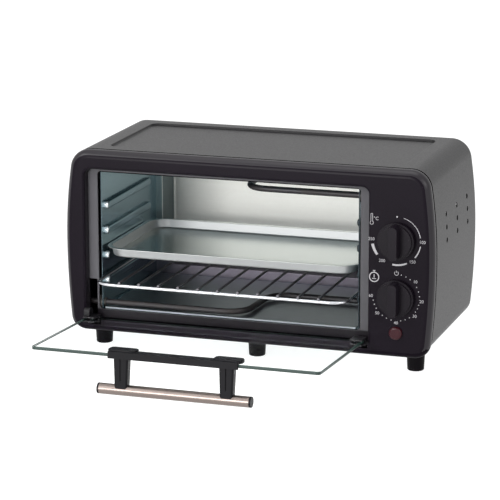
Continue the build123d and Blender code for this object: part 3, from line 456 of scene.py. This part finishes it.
small_plated = (6, 6, 6)
screw_zinc = sheet_finish(
    "zinc_plate", tone(186, 186, 184), small_plated, roughness=0.34, unevenness=0.1, spangle=500.0
)
head_height = 1.6 * mm
screw_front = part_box("panel_screws")[0].y
screw_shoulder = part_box("panel_screws")[1].y - head_height
screw_points = [
    ((low.x + high.x) / 2, screw_shoulder, (low.z + high.z) / 2)
    for low, high in solid_boxes("panel_screws")
]
panel_screw_heads = nodes_piece(
    "panel_screw_heads",
    sorted(screw_points),
    screw_tree(),
    {
        "Head Radius": 3.4 * mm,
        "Head Height": head_height,
        "Shank Radius": 1.6 * mm,
        "Shank Length": screw_shoulder - screw_front,
        "Lie": Matrix.Rotation(radians(-90), 3, "X").to_euler(),
        "Finish": screw_zinc,
    },
)
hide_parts("panel_screws")
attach(panel_screw_heads, "housing")
dress(screw_zinc, "control_screws", "frame_screws")


# Heating elements, bushes and tabs
# Two sheathed rods, bent to a wide U, darkened by heat. Each end passes the wall in a ceramic
# bush and carries a welded spade tab.
def heated_effect():
    """Steel that has been hot: cloudy oxide over a dark sheath, with duller and shinier patches."""
    group, entry = new_effect("heat_clouds", {"Place": "Vector", "Colour": "Color", "Oxide": "Color"})
    cloud = noise(group, entry["Place"], scale=70.0, detail=5.0)
    speck = noise(group, entry["Place"], scale=900.0, detail=2.0)
    share = ranged(group, cloud, low=0.35, high=0.75)
    colour = blend(group, share, entry["Colour"], entry["Oxide"])
    roughness = ranged(group, cloud, low=0.3, high=0.7, to_low=0.34, to_high=0.55)
    add_node(group, "NodeGroupOutput", {"Colour": colour, "Roughness": roughness, "Height": speck})
    return group


def heated_finish(name, colour, oxide, metal, bump):
    """A dark or stone-like finish with heat clouds."""
    given = {"Colour": colour, "Oxide": oxide}
    return effect_finish(name, {"Metallic": metal}, heat_clouds, bump, given)


heat_clouds = heated_effect()
sheath = heated_finish("heated_sheath", tone(40, 39, 43), tone(56, 52, 51), metal=0.4, bump=0.1)
ceramic = heated_finish("bush_ceramic", tone(84, 80, 76), tone(70, 66, 62), metal=0.0, bump=0.15)
dress(sheath, "upper_element", "lower_element")
dress(ceramic, "upper_element_bushes", "lower_element_bushes")
tab_steel = sheet_finish(
    "nickelled_tab", tone(196, 193, 184), small_plated, roughness=0.3, unevenness=0.08, spangle=500.0
)
dress(tab_steel, "element_tabs")


# Controls, lamp holder, terminal block, inner leads and gland
# Moulded thermostat and timer cases on the frame, the timer's pressed bell, turned shafts, and
# leads in braided glass sleeve between them and the elements. A rubber gland is pushed into the
# rear panel.
def moulded_effect():
    """Moulded plastic: a fine spark-eroded stipple and slow flow marks in tone and shine."""
    group, entry = new_effect(
        "moulded_grain",
        {"Place": "Vector", "Colour": "Color", "Grain": "Float", "Roughness": "Float"},
    )
    stipple = noise(group, entry["Place"], entry["Grain"], detail=2.0)
    flow = noise(group, entry["Place"], scale=11.0, detail=3.0)
    share = ranged(group, flow, low=0.3, high=0.7, to_low=0.86, to_high=1.14)
    spread = ranged(group, stipple, low=0.25, high=0.75, to_low=0.88, to_high=1.12)
    colour = shaded(group, entry["Colour"], share)
    roughness = calc(group, "MULTIPLY", entry["Roughness"], spread)
    add_node(group, "NodeGroupOutput", {"Colour": colour, "Roughness": roughness, "Height": stipple})
    return group


def moulded_finish(name, colour, roughness, gloss=0.5, grain=1500.0, bump=0.12, more=()):
    """Moulded plastic, rubber or paint with a fine surface of its own."""
    constants = {"Specular IOR Level": gloss, **dict(more)}
    given = {"Colour": colour, "Grain": grain, "Roughness": roughness}
    return effect_finish(name, constants, moulded_grain, bump, given)


moulded_grain = moulded_effect()
thermoset = moulded_finish("thermoset_case", tone(196, 192, 181), roughness=0.5)
dress(thermoset, "thermostat_body", "timer_body", "terminal_block", "lamp_holder")
dress(tab_steel, "timer_bell")
tool_marks = (8, 90, 8)
turned = sheet_finish(
    "turned_shaft", tone(194, 194, 192), tool_marks, roughness=0.28, unevenness=0.06, spangle=600.0
)
dress(turned, "temperature_shaft", "timer_shaft")
sleeve, sleeve_tree, sleeve_shader, sleeve_place = new_finish("braided_sleeve", {"Roughness": 0.8})
given = {"Vector": sleeve_place, "Scale": 1400.0}
braid = add_node(sleeve_tree, "ShaderNodeTexVoronoi", given, feature="DISTANCE_TO_EDGE").outputs["Distance"]
strands = blend(sleeve_tree, braid, tone(186, 182, 170), tone(232, 229, 221))
given = {"Height": braid, "Strength": 0.6, "Distance": 0.2 * mm}
weave = add_node(sleeve_tree, "ShaderNodeBump", given).outputs["Normal"]
sleeve_tree.links.new(strands, sleeve_shader.inputs["Base Color"])
sleeve_tree.links.new(weave, sleeve_shader.inputs["Normal"])
dress(sleeve, "inner_leads")
gland_rubber = moulded_finish("gland_rubber", tone(38, 38, 39), roughness=0.62)
dress(gland_rubber, "cord_gland")


# Outer wrap, recess plate and front frame
# One steel sheet folded over the top and both sides, with a sunken panel pressed into the top and
# vents punched in the right side. The plate round the cooking opening has a greyer paint, with
# painted shade along the sill. The frame that carries the controls and the wrap's front edge in
# the gap behind the bezel are painted black as shade.
paint = {"grain": 650.0, "bump": 0.06}
wrap_paint = moulded_finish("baked_paint", tone(22, 21, 23), roughness=0.4, gloss=0.25, **paint)
plate_paint = moulded_finish("plate_paint", tone(92, 91, 95), roughness=0.42, gloss=0.2, **paint)
sill_low = 41 * mm
sill_high = 42.5 * mm
# Painted shade: the plate turns near black along the sill
darker_below(plate_paint, tone(22, 18, 24), sill_low, sill_high)
dress(plate_paint, "recess_plate")
# Near black, painted as shade: on the front frame in the gap round the opening, on the wrap's front edge
# behind the bezel and on the ledge below the door
painted_gap_shade = moulded_finish("painted_gap_shade", tone(3, 2, 4), roughness=0.6, gloss=0.0)
dress(painted_gap_shade, "front_frame")
wrap_low, wrap_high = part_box("outer_wrap")
sunk = 2.0 * mm
level_reach = 0.05 * mm
press_margin = 5 * mm
press_round = 0.9 * mm
wrap_round = 0.4 * mm
seam_depth = 1.0 * mm


def on_pressing(point):
    """True on the outer edges of the sunken top panel."""
    depth = wrap_high.z - point.z
    between = wrap_low.y + press_margin < point.y < wrap_high.y - press_margin
    return between and (depth < level_reach or abs(depth - sunk) < level_reach)


def on_seam(face):
    """True on the wrap's front edge, in the gap behind the bezel."""
    return face.normal.y < -square_on and face.center.y < wrap_low.y + seam_depth


wrap = rounded_copy(
    "folded_wrap",
    "outer_wrap",
    wrap_round,
    wrap_paint,
    "housing",
    wider=(press_round, on_pressing),
)
# The wrap's front edge, in the gap behind the bezel, takes the painted shade
refinish(wrap, painted_gap_shade, on_seam)


# Front bezel
# One black moulding: the rounded front edge, the deep recess round the door and the control panel,
# clipped over the wrap and screwed from behind through the frame.
bezel_plastic = moulded_finish(
    "bezel_plastic", tone(18, 11, 21), roughness=0.3, gloss=0.09, more={"Sheen Weight": 0.06}
)
bezel_round = 0.6 * mm
bezel = rounded_copy(
    "bezel_moulding", "front_bezel", bezel_round, bezel_plastic, "housing"
)
# Painted highlight and shade: a glossier copy of the moulding's finish for the rounded rim, and a duller
# copy for the faces that look down
rim_highlight_plastic = moulded_finish("bezel_rim_highlight", tone(20, 14, 23), roughness=0.34, gloss=0.4)
underside_shade = moulded_finish("bezel_underside_shade", tone(20, 14, 23), roughness=0.45, gloss=0.03)
rim_height = 175 * mm
rim_reach = 150 * mm
rim_lean = 0.25
back_lean = 0.3
underside_top = 40 * mm
under_lean = 0.3
ledge_top = 34 * mm
ledge_front = panel_y + 3 * mm
ledge_lean = 0.7


def on_rim(face):
    """True on the rounded outer rim, over the top and down both sides."""
    if not -square_on < face.normal.y < back_lean:
        return False
    above = face.normal.z > rim_lean and face.center.z > rim_height
    outward = face.normal.x * face.center.x > 0 and abs(face.normal.x) > rim_lean
    return above or (outward and abs(face.center.x) > rim_reach)


def on_underside(face):
    """True on the faces that look down at the counter."""
    return face.normal.z < -under_lean and face.center.z < underside_top


def on_ledge(face):
    """True on the ledge below the door, behind its front edge."""
    low_down = face.normal.z > ledge_lean and face.center.z < ledge_top
    return low_down and face.center.y > ledge_front


# The rounded rim takes the glossier copy, a painted highlight
refinish(bezel, rim_highlight_plastic, on_rim)
# The faces that look down take the duller copy, painted shade
refinish(bezel, underside_shade, on_underside)
# The ledge below the door takes the black painted shade
refinish(bezel, painted_gap_shade, on_ledge)


# Printed marks on the control panel
# Pale ink, printed on the moulding round each dial: a heat band that thickens towards hot, minutes
# round the timer, and small signs for the two dials.
ink_proud = 0.06 * mm
ink_sunk = 0.06 * mm
print_shape = bmesh.new()


def print_prism(outline):
    """A thin raised shape on the panel, from its outline's points in X and Z."""
    front = [print_shape.verts.new((x, panel_y - ink_proud, z)) for x, z in outline]
    back = [print_shape.verts.new((x, panel_y + ink_sunk, z)) for x, z in outline]
    print_shape.faces.new(front)
    print_shape.faces.new(back[::-1])
    count = len(outline)
    for step in range(count):
        after = (step + 1) % count
        print_shape.faces.new((front[step], back[step], back[after], front[after]))


def around(center, radius, angle):
    """The point at that radius and clock angle, in degrees from the top, round a dial's centre."""
    return center[0] + radius * sin(radians(angle)), center[1] + radius * cos(radians(angle))


def print_band(center, start, end, inner, outer, step=5.0):
    """A curved band between two clock angles; inner and outer give the radii along it, 0 to 1."""
    count = max(1, round(abs(end - start) / step))
    for part in range(count):
        shares = (part / count, (part + 1) / count)
        angles = [start + (end - start) * share for share in shares]
        print_prism(
            [
                around(center, inner(shares[0]), angles[0]),
                around(center, outer(shares[0]), angles[0]),
                around(center, outer(shares[1]), angles[1]),
                around(center, inner(shares[1]), angles[1]),
            ]
        )


def print_ring(center, radius, width, start=0, end=360):
    """A band of even width."""
    inner = radius - width / 2
    outer = radius + width / 2
    print_band(center, start, end, lambda share: inner, lambda share: outer, step=12.0)


def print_dot(center, radius):
    """A round dot."""
    sides = 12
    print_prism([around(center, radius, 360 / sides * step) for step in range(sides)])


def print_line(start, end, width):
    """A straight stroke."""
    along = (Vector(end) - Vector(start)).normalized() * width / 2
    across = Vector((along.y, -along.x))
    corners = (Vector(start) - across, Vector(start) + across, Vector(end) + across, Vector(end) - across)
    print_prism([tuple(corner) for corner in corners])


def print_words(words, center, size):
    """Plain figures, centred at a place on the panel."""
    curve = bpy.data.curves.new("figures", "FONT")
    curve.body = words
    curve.size = size
    curve.align_x = "CENTER"
    curve.align_y = "CENTER"
    curve.resolution_u = 3
    curve.extrude = (ink_proud + ink_sunk) / 2
    figures = bpy.data.objects.new("figures", curve)
    bpy.context.collection.objects.link(figures)
    bpy.context.view_layer.update()
    evaluated = figures.evaluated_get(bpy.context.evaluated_depsgraph_get())
    mesh = bpy.data.meshes.new_from_object(evaluated)
    stand = Matrix.Rotation(radians(90), 4, "X")
    middle_y = panel_y + (ink_sunk - ink_proud) / 2
    mesh.transform(Matrix.Translation((center[0], middle_y, center[1])) @ stand)
    print_shape.from_mesh(mesh)
    bpy.data.objects.remove(figures)
    bpy.data.curves.remove(curve)
    bpy.data.meshes.remove(mesh)


def dial_center(node):
    """The middle of a knob, in X and Z."""
    low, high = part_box(node)
    return (low.x + high.x) / 2, (low.z + high.z) / 2


figure_size = 4.2 * mm
label_radius = 24.6 * mm
heat_dial = dial_center("temperature_knob")
heat_marks = {"100": 90, "150": 142, "200": 215, "250": 270}
for words, angle in heat_marks.items():
    print_words(words, around(heat_dial, label_radius, angle), figure_size)
band_inner = 22.6 * mm
band_thin = 0.35 * mm
band_growth = 2.3 * mm
band_end = 260
band_swell = 1.5
band_spans = ((16, 80), (100, 131), (155, 190), (232, 259))


def band_width(angle):
    """The heat band's width, which grows with the angle from the top."""
    return band_thin + band_growth * (angle / band_end) ** band_swell


for start, end in band_spans:
    widths = (band_width(start), band_width(end))
    print_band(
        heat_dial,
        start,
        end,
        lambda share: band_inner,
        lambda share: band_inner + widths[0] + (widths[1] - widths[0]) * share,
    )
start_dot_place = 22.8 * mm
start_dot_radius = 0.8 * mm
print_dot(around(heat_dial, start_dot_place, 0), start_dot_radius)

minute_dial = dial_center("timer_knob")
minute_marks = {"10": 48, "20": 95, "30": 133, "40": 180, "50": 228, "60": 270}
for words, angle in minute_marks.items():
    print_words(words, around(minute_dial, label_radius, angle), figure_size)
dot_place = 22.6 * mm
dot_radius = 0.5 * mm
dots_between = 3
angles = [0, *minute_marks.values()]
for first, last in zip(angles, angles[1:]):
    for step in range(1, dots_between + 1):
        angle = first + (last - first) * step / (dots_between + 1)
        print_dot(around(minute_dial, dot_place, angle), dot_radius)

# The off sign at the top of the timer: a broken ring with a stroke
off_place = 23.4 * mm
off_radius = 1.9 * mm
off_stroke = 0.5 * mm
off_x, off_z = around(minute_dial, off_place, 0)
print_ring((off_x, off_z), off_radius, off_stroke, start=35, end=325)
print_line((off_x, off_z + 0.4 * mm), (off_x, off_z + 2.6 * mm), off_stroke)

# The thermometer beside the upper dial: a tube, a bulb and the degree sign
bulb_x = heat_dial[0] - 24.4 * mm
bulb_z = heat_dial[1] + 15.6 * mm
bulb_radius = 1.6 * mm
tube_half = 0.8 * mm
tube_foot = bulb_z + 1.3 * mm
tube_top = bulb_z + 8.2 * mm
tube_stroke = 0.45 * mm
for tube_x in (bulb_x - tube_half, bulb_x + tube_half):
    print_line((tube_x, tube_foot), (tube_x, tube_top), tube_stroke)
print_ring((bulb_x, tube_top), tube_half, tube_stroke, start=-90, end=90)
print_ring((bulb_x, bulb_z), bulb_radius, tube_stroke, start=30, end=330)
degree_offset = 4.2 * mm
degree_size = 4.6 * mm
print_words("\N{DEGREE SIGN}C", (bulb_x + degree_offset, bulb_z + degree_offset), degree_size)

# The stopwatch beside the lower dial: a ring with a crown, a stem, a hand and a line below the
# hand. Each stroke is its two ends from the ring's centre and its width, in mm.
watch_x = minute_dial[0] - 21.6 * mm
watch_z = minute_dial[1] + 18.4 * mm
watch_radius = 4.5 * mm
watch_rim = 0.9 * mm
print_ring((watch_x, watch_z), watch_radius, watch_rim)
watch_strokes = (
    ((-1.2, 6.2), (1.2, 6.2), 0.6),
    ((0.0, 4.8), (0.0, 6.0), 0.7),
    ((0.0, -0.6), (0.0, 2.6), 0.7),
    ((-2.0, -1.6), (2.0, -1.6), 0.6),
)
for start, end, width in watch_strokes:
    ends = [(watch_x + x * mm, watch_z + z * mm) for x, z in (start, end)]
    print_line(*ends, width * mm)

bmesh.ops.recalc_face_normals(print_shape, faces=print_shape.faces)
print_mesh = bpy.data.meshes.new("panel_marks")
print_shape.to_mesh(print_mesh)
print_shape.free()
panel_marks = bpy.data.objects.new("panel_marks", print_mesh)
bpy.context.collection.objects.link(panel_marks)
ink = moulded_finish("pale_ink", tone(196, 194, 198), roughness=0.5, grain=2600.0)
print_mesh.materials.append(ink)
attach(panel_marks, "housing")


# Knobs and lamp lens
# Two black knobs with a full-height grip bar across a round skirt, pushed on the shafts, and a
# small clear red lens over the lamp.
knob_plastic = moulded_finish("knob_plastic", tone(23, 18, 25), roughness=0.36, gloss=0.14)
knob_round = 0.9 * mm
for dial in ("temperature", "timer"):
    rounded_copy(
        f"{dial}_dial", f"{dial}_knob", knob_round, knob_plastic, f"{dial}_control"
    )
lens_red = moulded_finish(
    "red_lens",
    tone(52, 10, 20),
    roughness=0.3,
    gloss=0.2,
    grain=2600.0,
    bump=0.03,
    more={"Coat Weight": 0.15, "Coat Roughness": 0.1},
)
dress(lens_red, "lamp_lens")


# Feet, their screws and nuts
# Six tapered black feet, moulded in plastic, under the base plate. Each is held by a screw up its
# bore and a nut inside.
foot_plastic = moulded_finish("foot_plastic", tone(9, 6, 10), roughness=0.46, gloss=0.07)
feet = [f"foot_{row}_{side}" for row in ("front", "rear") for side in ("left", "middle", "right")]
dress(foot_plastic, *feet)
dress(screw_zinc, "foot_screws", "foot_nuts")


# Door pane
# Toughened clear glass with ground edges, drilled at its foot for the clips and at its head for
# the handle.
glass, glass_tree, glass_shader, glass_place = new_finish(
    "clear_glass", {"Transmission Weight": 1.0, "IOR": 1.02, "Metallic": 0.0}
)
haze = noise(glass_tree, glass_place, scale=9.0, detail=3.0)
tint = blend(glass_tree, haze, tone(254, 255, 255), tone(251, 254, 253))
film = ranged(glass_tree, haze, low=0.0, high=1.0, to_high=0.02)
glass_tree.links.new(tint, glass_shader.inputs["Base Color"])
glass_tree.links.new(film, glass_shader.inputs["Roughness"])
lamp_ray = add_node(glass_tree, "ShaderNodeLightPath").outputs["Is Shadow Ray"]
clear = add_node(glass_tree, "ShaderNodeBsdfTransparent", {"Color": tone(254, 255, 255)}).outputs[0]
given = {0: lamp_ray, 1: glass_shader.outputs[0], 2: clear}
see_through = add_node(glass_tree, "ShaderNodeMixShader", given)
glass_tree.links.new(see_through.outputs[0], glass_tree.nodes["Material Output"].inputs["Surface"])
ground_edge = moulded_finish(
    "ground_edge",
    tone(40, 62, 56),
    roughness=0.4,
    grain=2200.0,
    bump=0.1,
    more={"Transmission Weight": 0.25},
)
pane_round = 0.5 * mm
pane = rounded_copy("door_pane", "door_glass", pane_round, glass, "door", segments=2)
pane_normal = max(pane.data.polygons, key=lambda face: face.area).normal.copy()
flat_on = 0.95
hinge_side = 0.7


def on_ground_edge(face):
    """True on the pane's edges, apart from the one at the hinge."""
    return abs(face.normal.dot(pane_normal)) < flat_on and face.normal.y < hinge_side


refinish(pane, ground_edge, on_ground_edge)


# Hinge clips, pins, lever and clip screws
# A folded black steel clip grips each lower corner of the pane and turns on a pin in the bezel's
# pocket. The left one carries the moulded lever that draws the rack.
hinge_black = moulded_finish("hinge_black", tone(24, 22, 26), roughness=0.42, gloss=0.3, grain=900.0)
clip_round = 0.35 * mm
for side in ("left", "right"):
    rounded_copy(
        f"{side}_clip", f"hinge_clip_{side}", clip_round, hinge_black, "door", segments=2
    )
lever_plastic = moulded_finish("lever_plastic", tone(20, 19, 22), roughness=0.42, gloss=0.25)
lever_round = 0.5 * mm
rounded_copy("rack_lever", "door_lever", lever_round, lever_plastic, "door", segments=2)
dress(hinge_black, "hinge_pins", "clip_screws", "post_screws")


# Handle and its tube
# A black moulded base over the pane's edge with two raised pads, two grooved posts screwed through
# the glass, and a brushed steel tube with pressed-in black caps.
handle_plastic = moulded_finish("handle_plastic", tone(17, 16, 20), roughness=0.4, gloss=0.16)
handle_pieces = {
    "handle_strap": ("handle_base", 0.5 * mm),
    "left_post": ("handle_post_left", 0.6 * mm),
    "right_post": ("handle_post_right", 0.6 * mm),
    "tube_caps": ("bar_caps", 0.4 * mm),
}
for name, (node, width) in handle_pieces.items():
    rounded_copy(name, node, width, handle_plastic, "door", segments=2)
brushed_along = (3, 160, 160)
brushing = {"unevenness": 0.06, "spangle": 900.0, "bump": 0.03}
brushed_tube = sheet_finish("brushed_tube", tone(133, 122, 117), brushed_along, roughness=0.3, **brushing)
dress(brushed_tube, "handle_bar")


# Wire rack
# Bright plated wire: one bent frame that slides on the walls' lowest ribs, with bars welded across
# it that get a darker copy of the wire's finish as painted shade.
wire_plate = (10, 10, 10)
plating = {"unevenness": 0.06, "spangle": 700.0, "bump": 0.03}
rack_chrome = sheet_finish("bright_wire", tone(196, 198, 202), wire_plate, roughness=0.2, **plating)
dress(rack_chrome, "rack_frame")
# Painted shade: the bars, under the tray, take a darker copy of the wire's finish
shaded_bar_wire = sheet_finish("bar_wire_shade", tone(116, 114, 118), wire_plate, roughness=0.4, **plating)
dress(shaded_bar_wire, "rack_bars")


# Baking tray
# A pressed satin aluminium pan with a flat rim, turned down at both sides, rounded corners and
# duller drawn sides. It stands on the ribs above the rack's.
satin = {"unevenness": 0.02, "spangle": 420.0, "bump": 0.004}
tray_metal = sheet_finish("satin_tray", tone(226, 231, 229), rolled_across, roughness=0.24, **satin)
tray_side = sheet_finish(
    "drawn_tray_side", tone(181, 183, 183), rolled_across, roughness=0.45, metal=0.8, **satin
)
tray_round = 0.3 * mm
pressed_tray = rounded_copy(
    "pressed_tray", "baking_tray", tray_round, tray_metal, "tray", segments=2
)
refinish(pressed_tray, tray_side, lambda face: abs(face.normal.z) < square_on)


# Crumb tray
# A thin galvanised tray with a hemmed front edge. It slides in on the floor under the lower
# element.
crumb_metal = {"unevenness": 0.14, "spangle": 260.0, "bump": 0.01}
pan_zinc = sheet_finish("crumb_sheet", tone(152, 160, 164), rolled_across, roughness=0.34, **crumb_metal)
dress(pan_zinc, "crumb_tray")


# Floor, light and camera
# A white sweep, a soft lamp from the left, one low in front that shines into the oven, a weaker
# one from the right, one above, and the camera at the photograph's place.
def seen_rays(tree):
    """1 for rays from the camera and through mirrors and glass, 0 for the light that falls on things."""
    path = add_node(tree, "ShaderNodeLightPath").outputs
    first = calc(tree, "MAXIMUM", path["Is Camera Ray"], path["Is Glossy Ray"])
    return calc(tree, "MAXIMUM", first, path["Is Transmission Ray"])


floor_reach = 12.0
floor_mesh = bpy.data.meshes.new("floor")
corners = [(x * floor_reach, y * floor_reach, 0) for x, y in ((-1, -1), (1, -1), (1, 1), (-1, 1))]
floor_mesh.from_pydata(corners, [], [(0, 1, 2, 3)])
floor = bpy.data.objects.new("floor", floor_mesh)
bpy.context.collection.objects.link(floor)
sweep = bpy.data.materials.new("white_sweep")
sweep.use_nodes = True
sweep_tree = sweep.node_tree
sweep_tree.nodes.remove(sweep_tree.nodes["Principled BSDF"])
lit = add_node(sweep_tree, "ShaderNodeBsdfDiffuse", {"Color": (0.35, 0.35, 0.35, 1)})
floor_glow = 0.9
glow_strength = calc(sweep_tree, "MULTIPLY", seen_rays(sweep_tree), floor_glow)
glow = add_node(sweep_tree, "ShaderNodeEmission", {"Strength": glow_strength})
both = add_node(sweep_tree, "ShaderNodeAddShader", {0: lit.outputs[0], 1: glow.outputs[0]})
sweep_tree.links.new(both.outputs[0], sweep_tree.nodes["Material Output"].inputs["Surface"])
floor_mesh.materials.append(sweep)

world = bpy.data.worlds.new("white_room")
bpy.context.scene.world = world
world.use_nodes = True
world_tree = world.node_tree
world_light = 0.55
strength = ranged(world_tree, seen_rays(world_tree), low=0.0, high=1.0, to_low=world_light)
world_tree.links.new(strength, world_tree.nodes["Background"].inputs["Strength"])
world_tree.nodes["Background"].inputs["Color"].default_value = (1, 1, 1, 1)

target = Vector((4.95 * mm, panel_y, 114.47 * mm))
lamps = {
    "left_softbox": ((-1.5, -1.5, 1.5), 1.2, 22.0),
    "front_softbox": ((-0.6, -2.1, 0.36), 0.7, 18.0),
    "right_softbox": ((1.8, -1.0, 1.0), 1.0, 9.0),
    "top_softbox": ((0.0, -0.2, 2.2), 1.5, 14.0),
}
for name, (place, width, power) in lamps.items():
    lamp = bpy.data.lights.new(name, "AREA")
    lamp.energy = power
    lamp.size = width
    softbox = bpy.data.objects.new(name, lamp)
    softbox.location = place
    softbox.rotation_mode = "QUATERNION"
    softbox.rotation_quaternion = (target - Vector(place)).to_track_quat("-Z", "Y")
    bpy.context.collection.objects.link(softbox)

azimuth = radians(18.26)
elevation = radians(13.61)
roll = radians(-0.12)
camera_distance = 2.4305
image_width = 500
focal_pixels = 2557.2
camera_data = bpy.data.cameras.new("photo_view")
camera_data.sensor_width = 36.0
camera_data.lens = focal_pixels / image_width * camera_data.sensor_width
camera_data.clip_end = 100.0
camera = bpy.data.objects.new("photo_view", camera_data)
back = Vector((sin(azimuth) * cos(elevation), -cos(azimuth) * cos(elevation), sin(elevation)))
camera.location = target + back * camera_distance
camera.rotation_mode = "QUATERNION"
camera.rotation_quaternion = (-back).to_track_quat("-Z", "Y") @ Quaternion((0, 0, 1), roll)
bpy.context.collection.objects.link(camera)
bpy.context.scene.camera = camera
bpy.context.scene.view_settings.view_transform = "Standard"
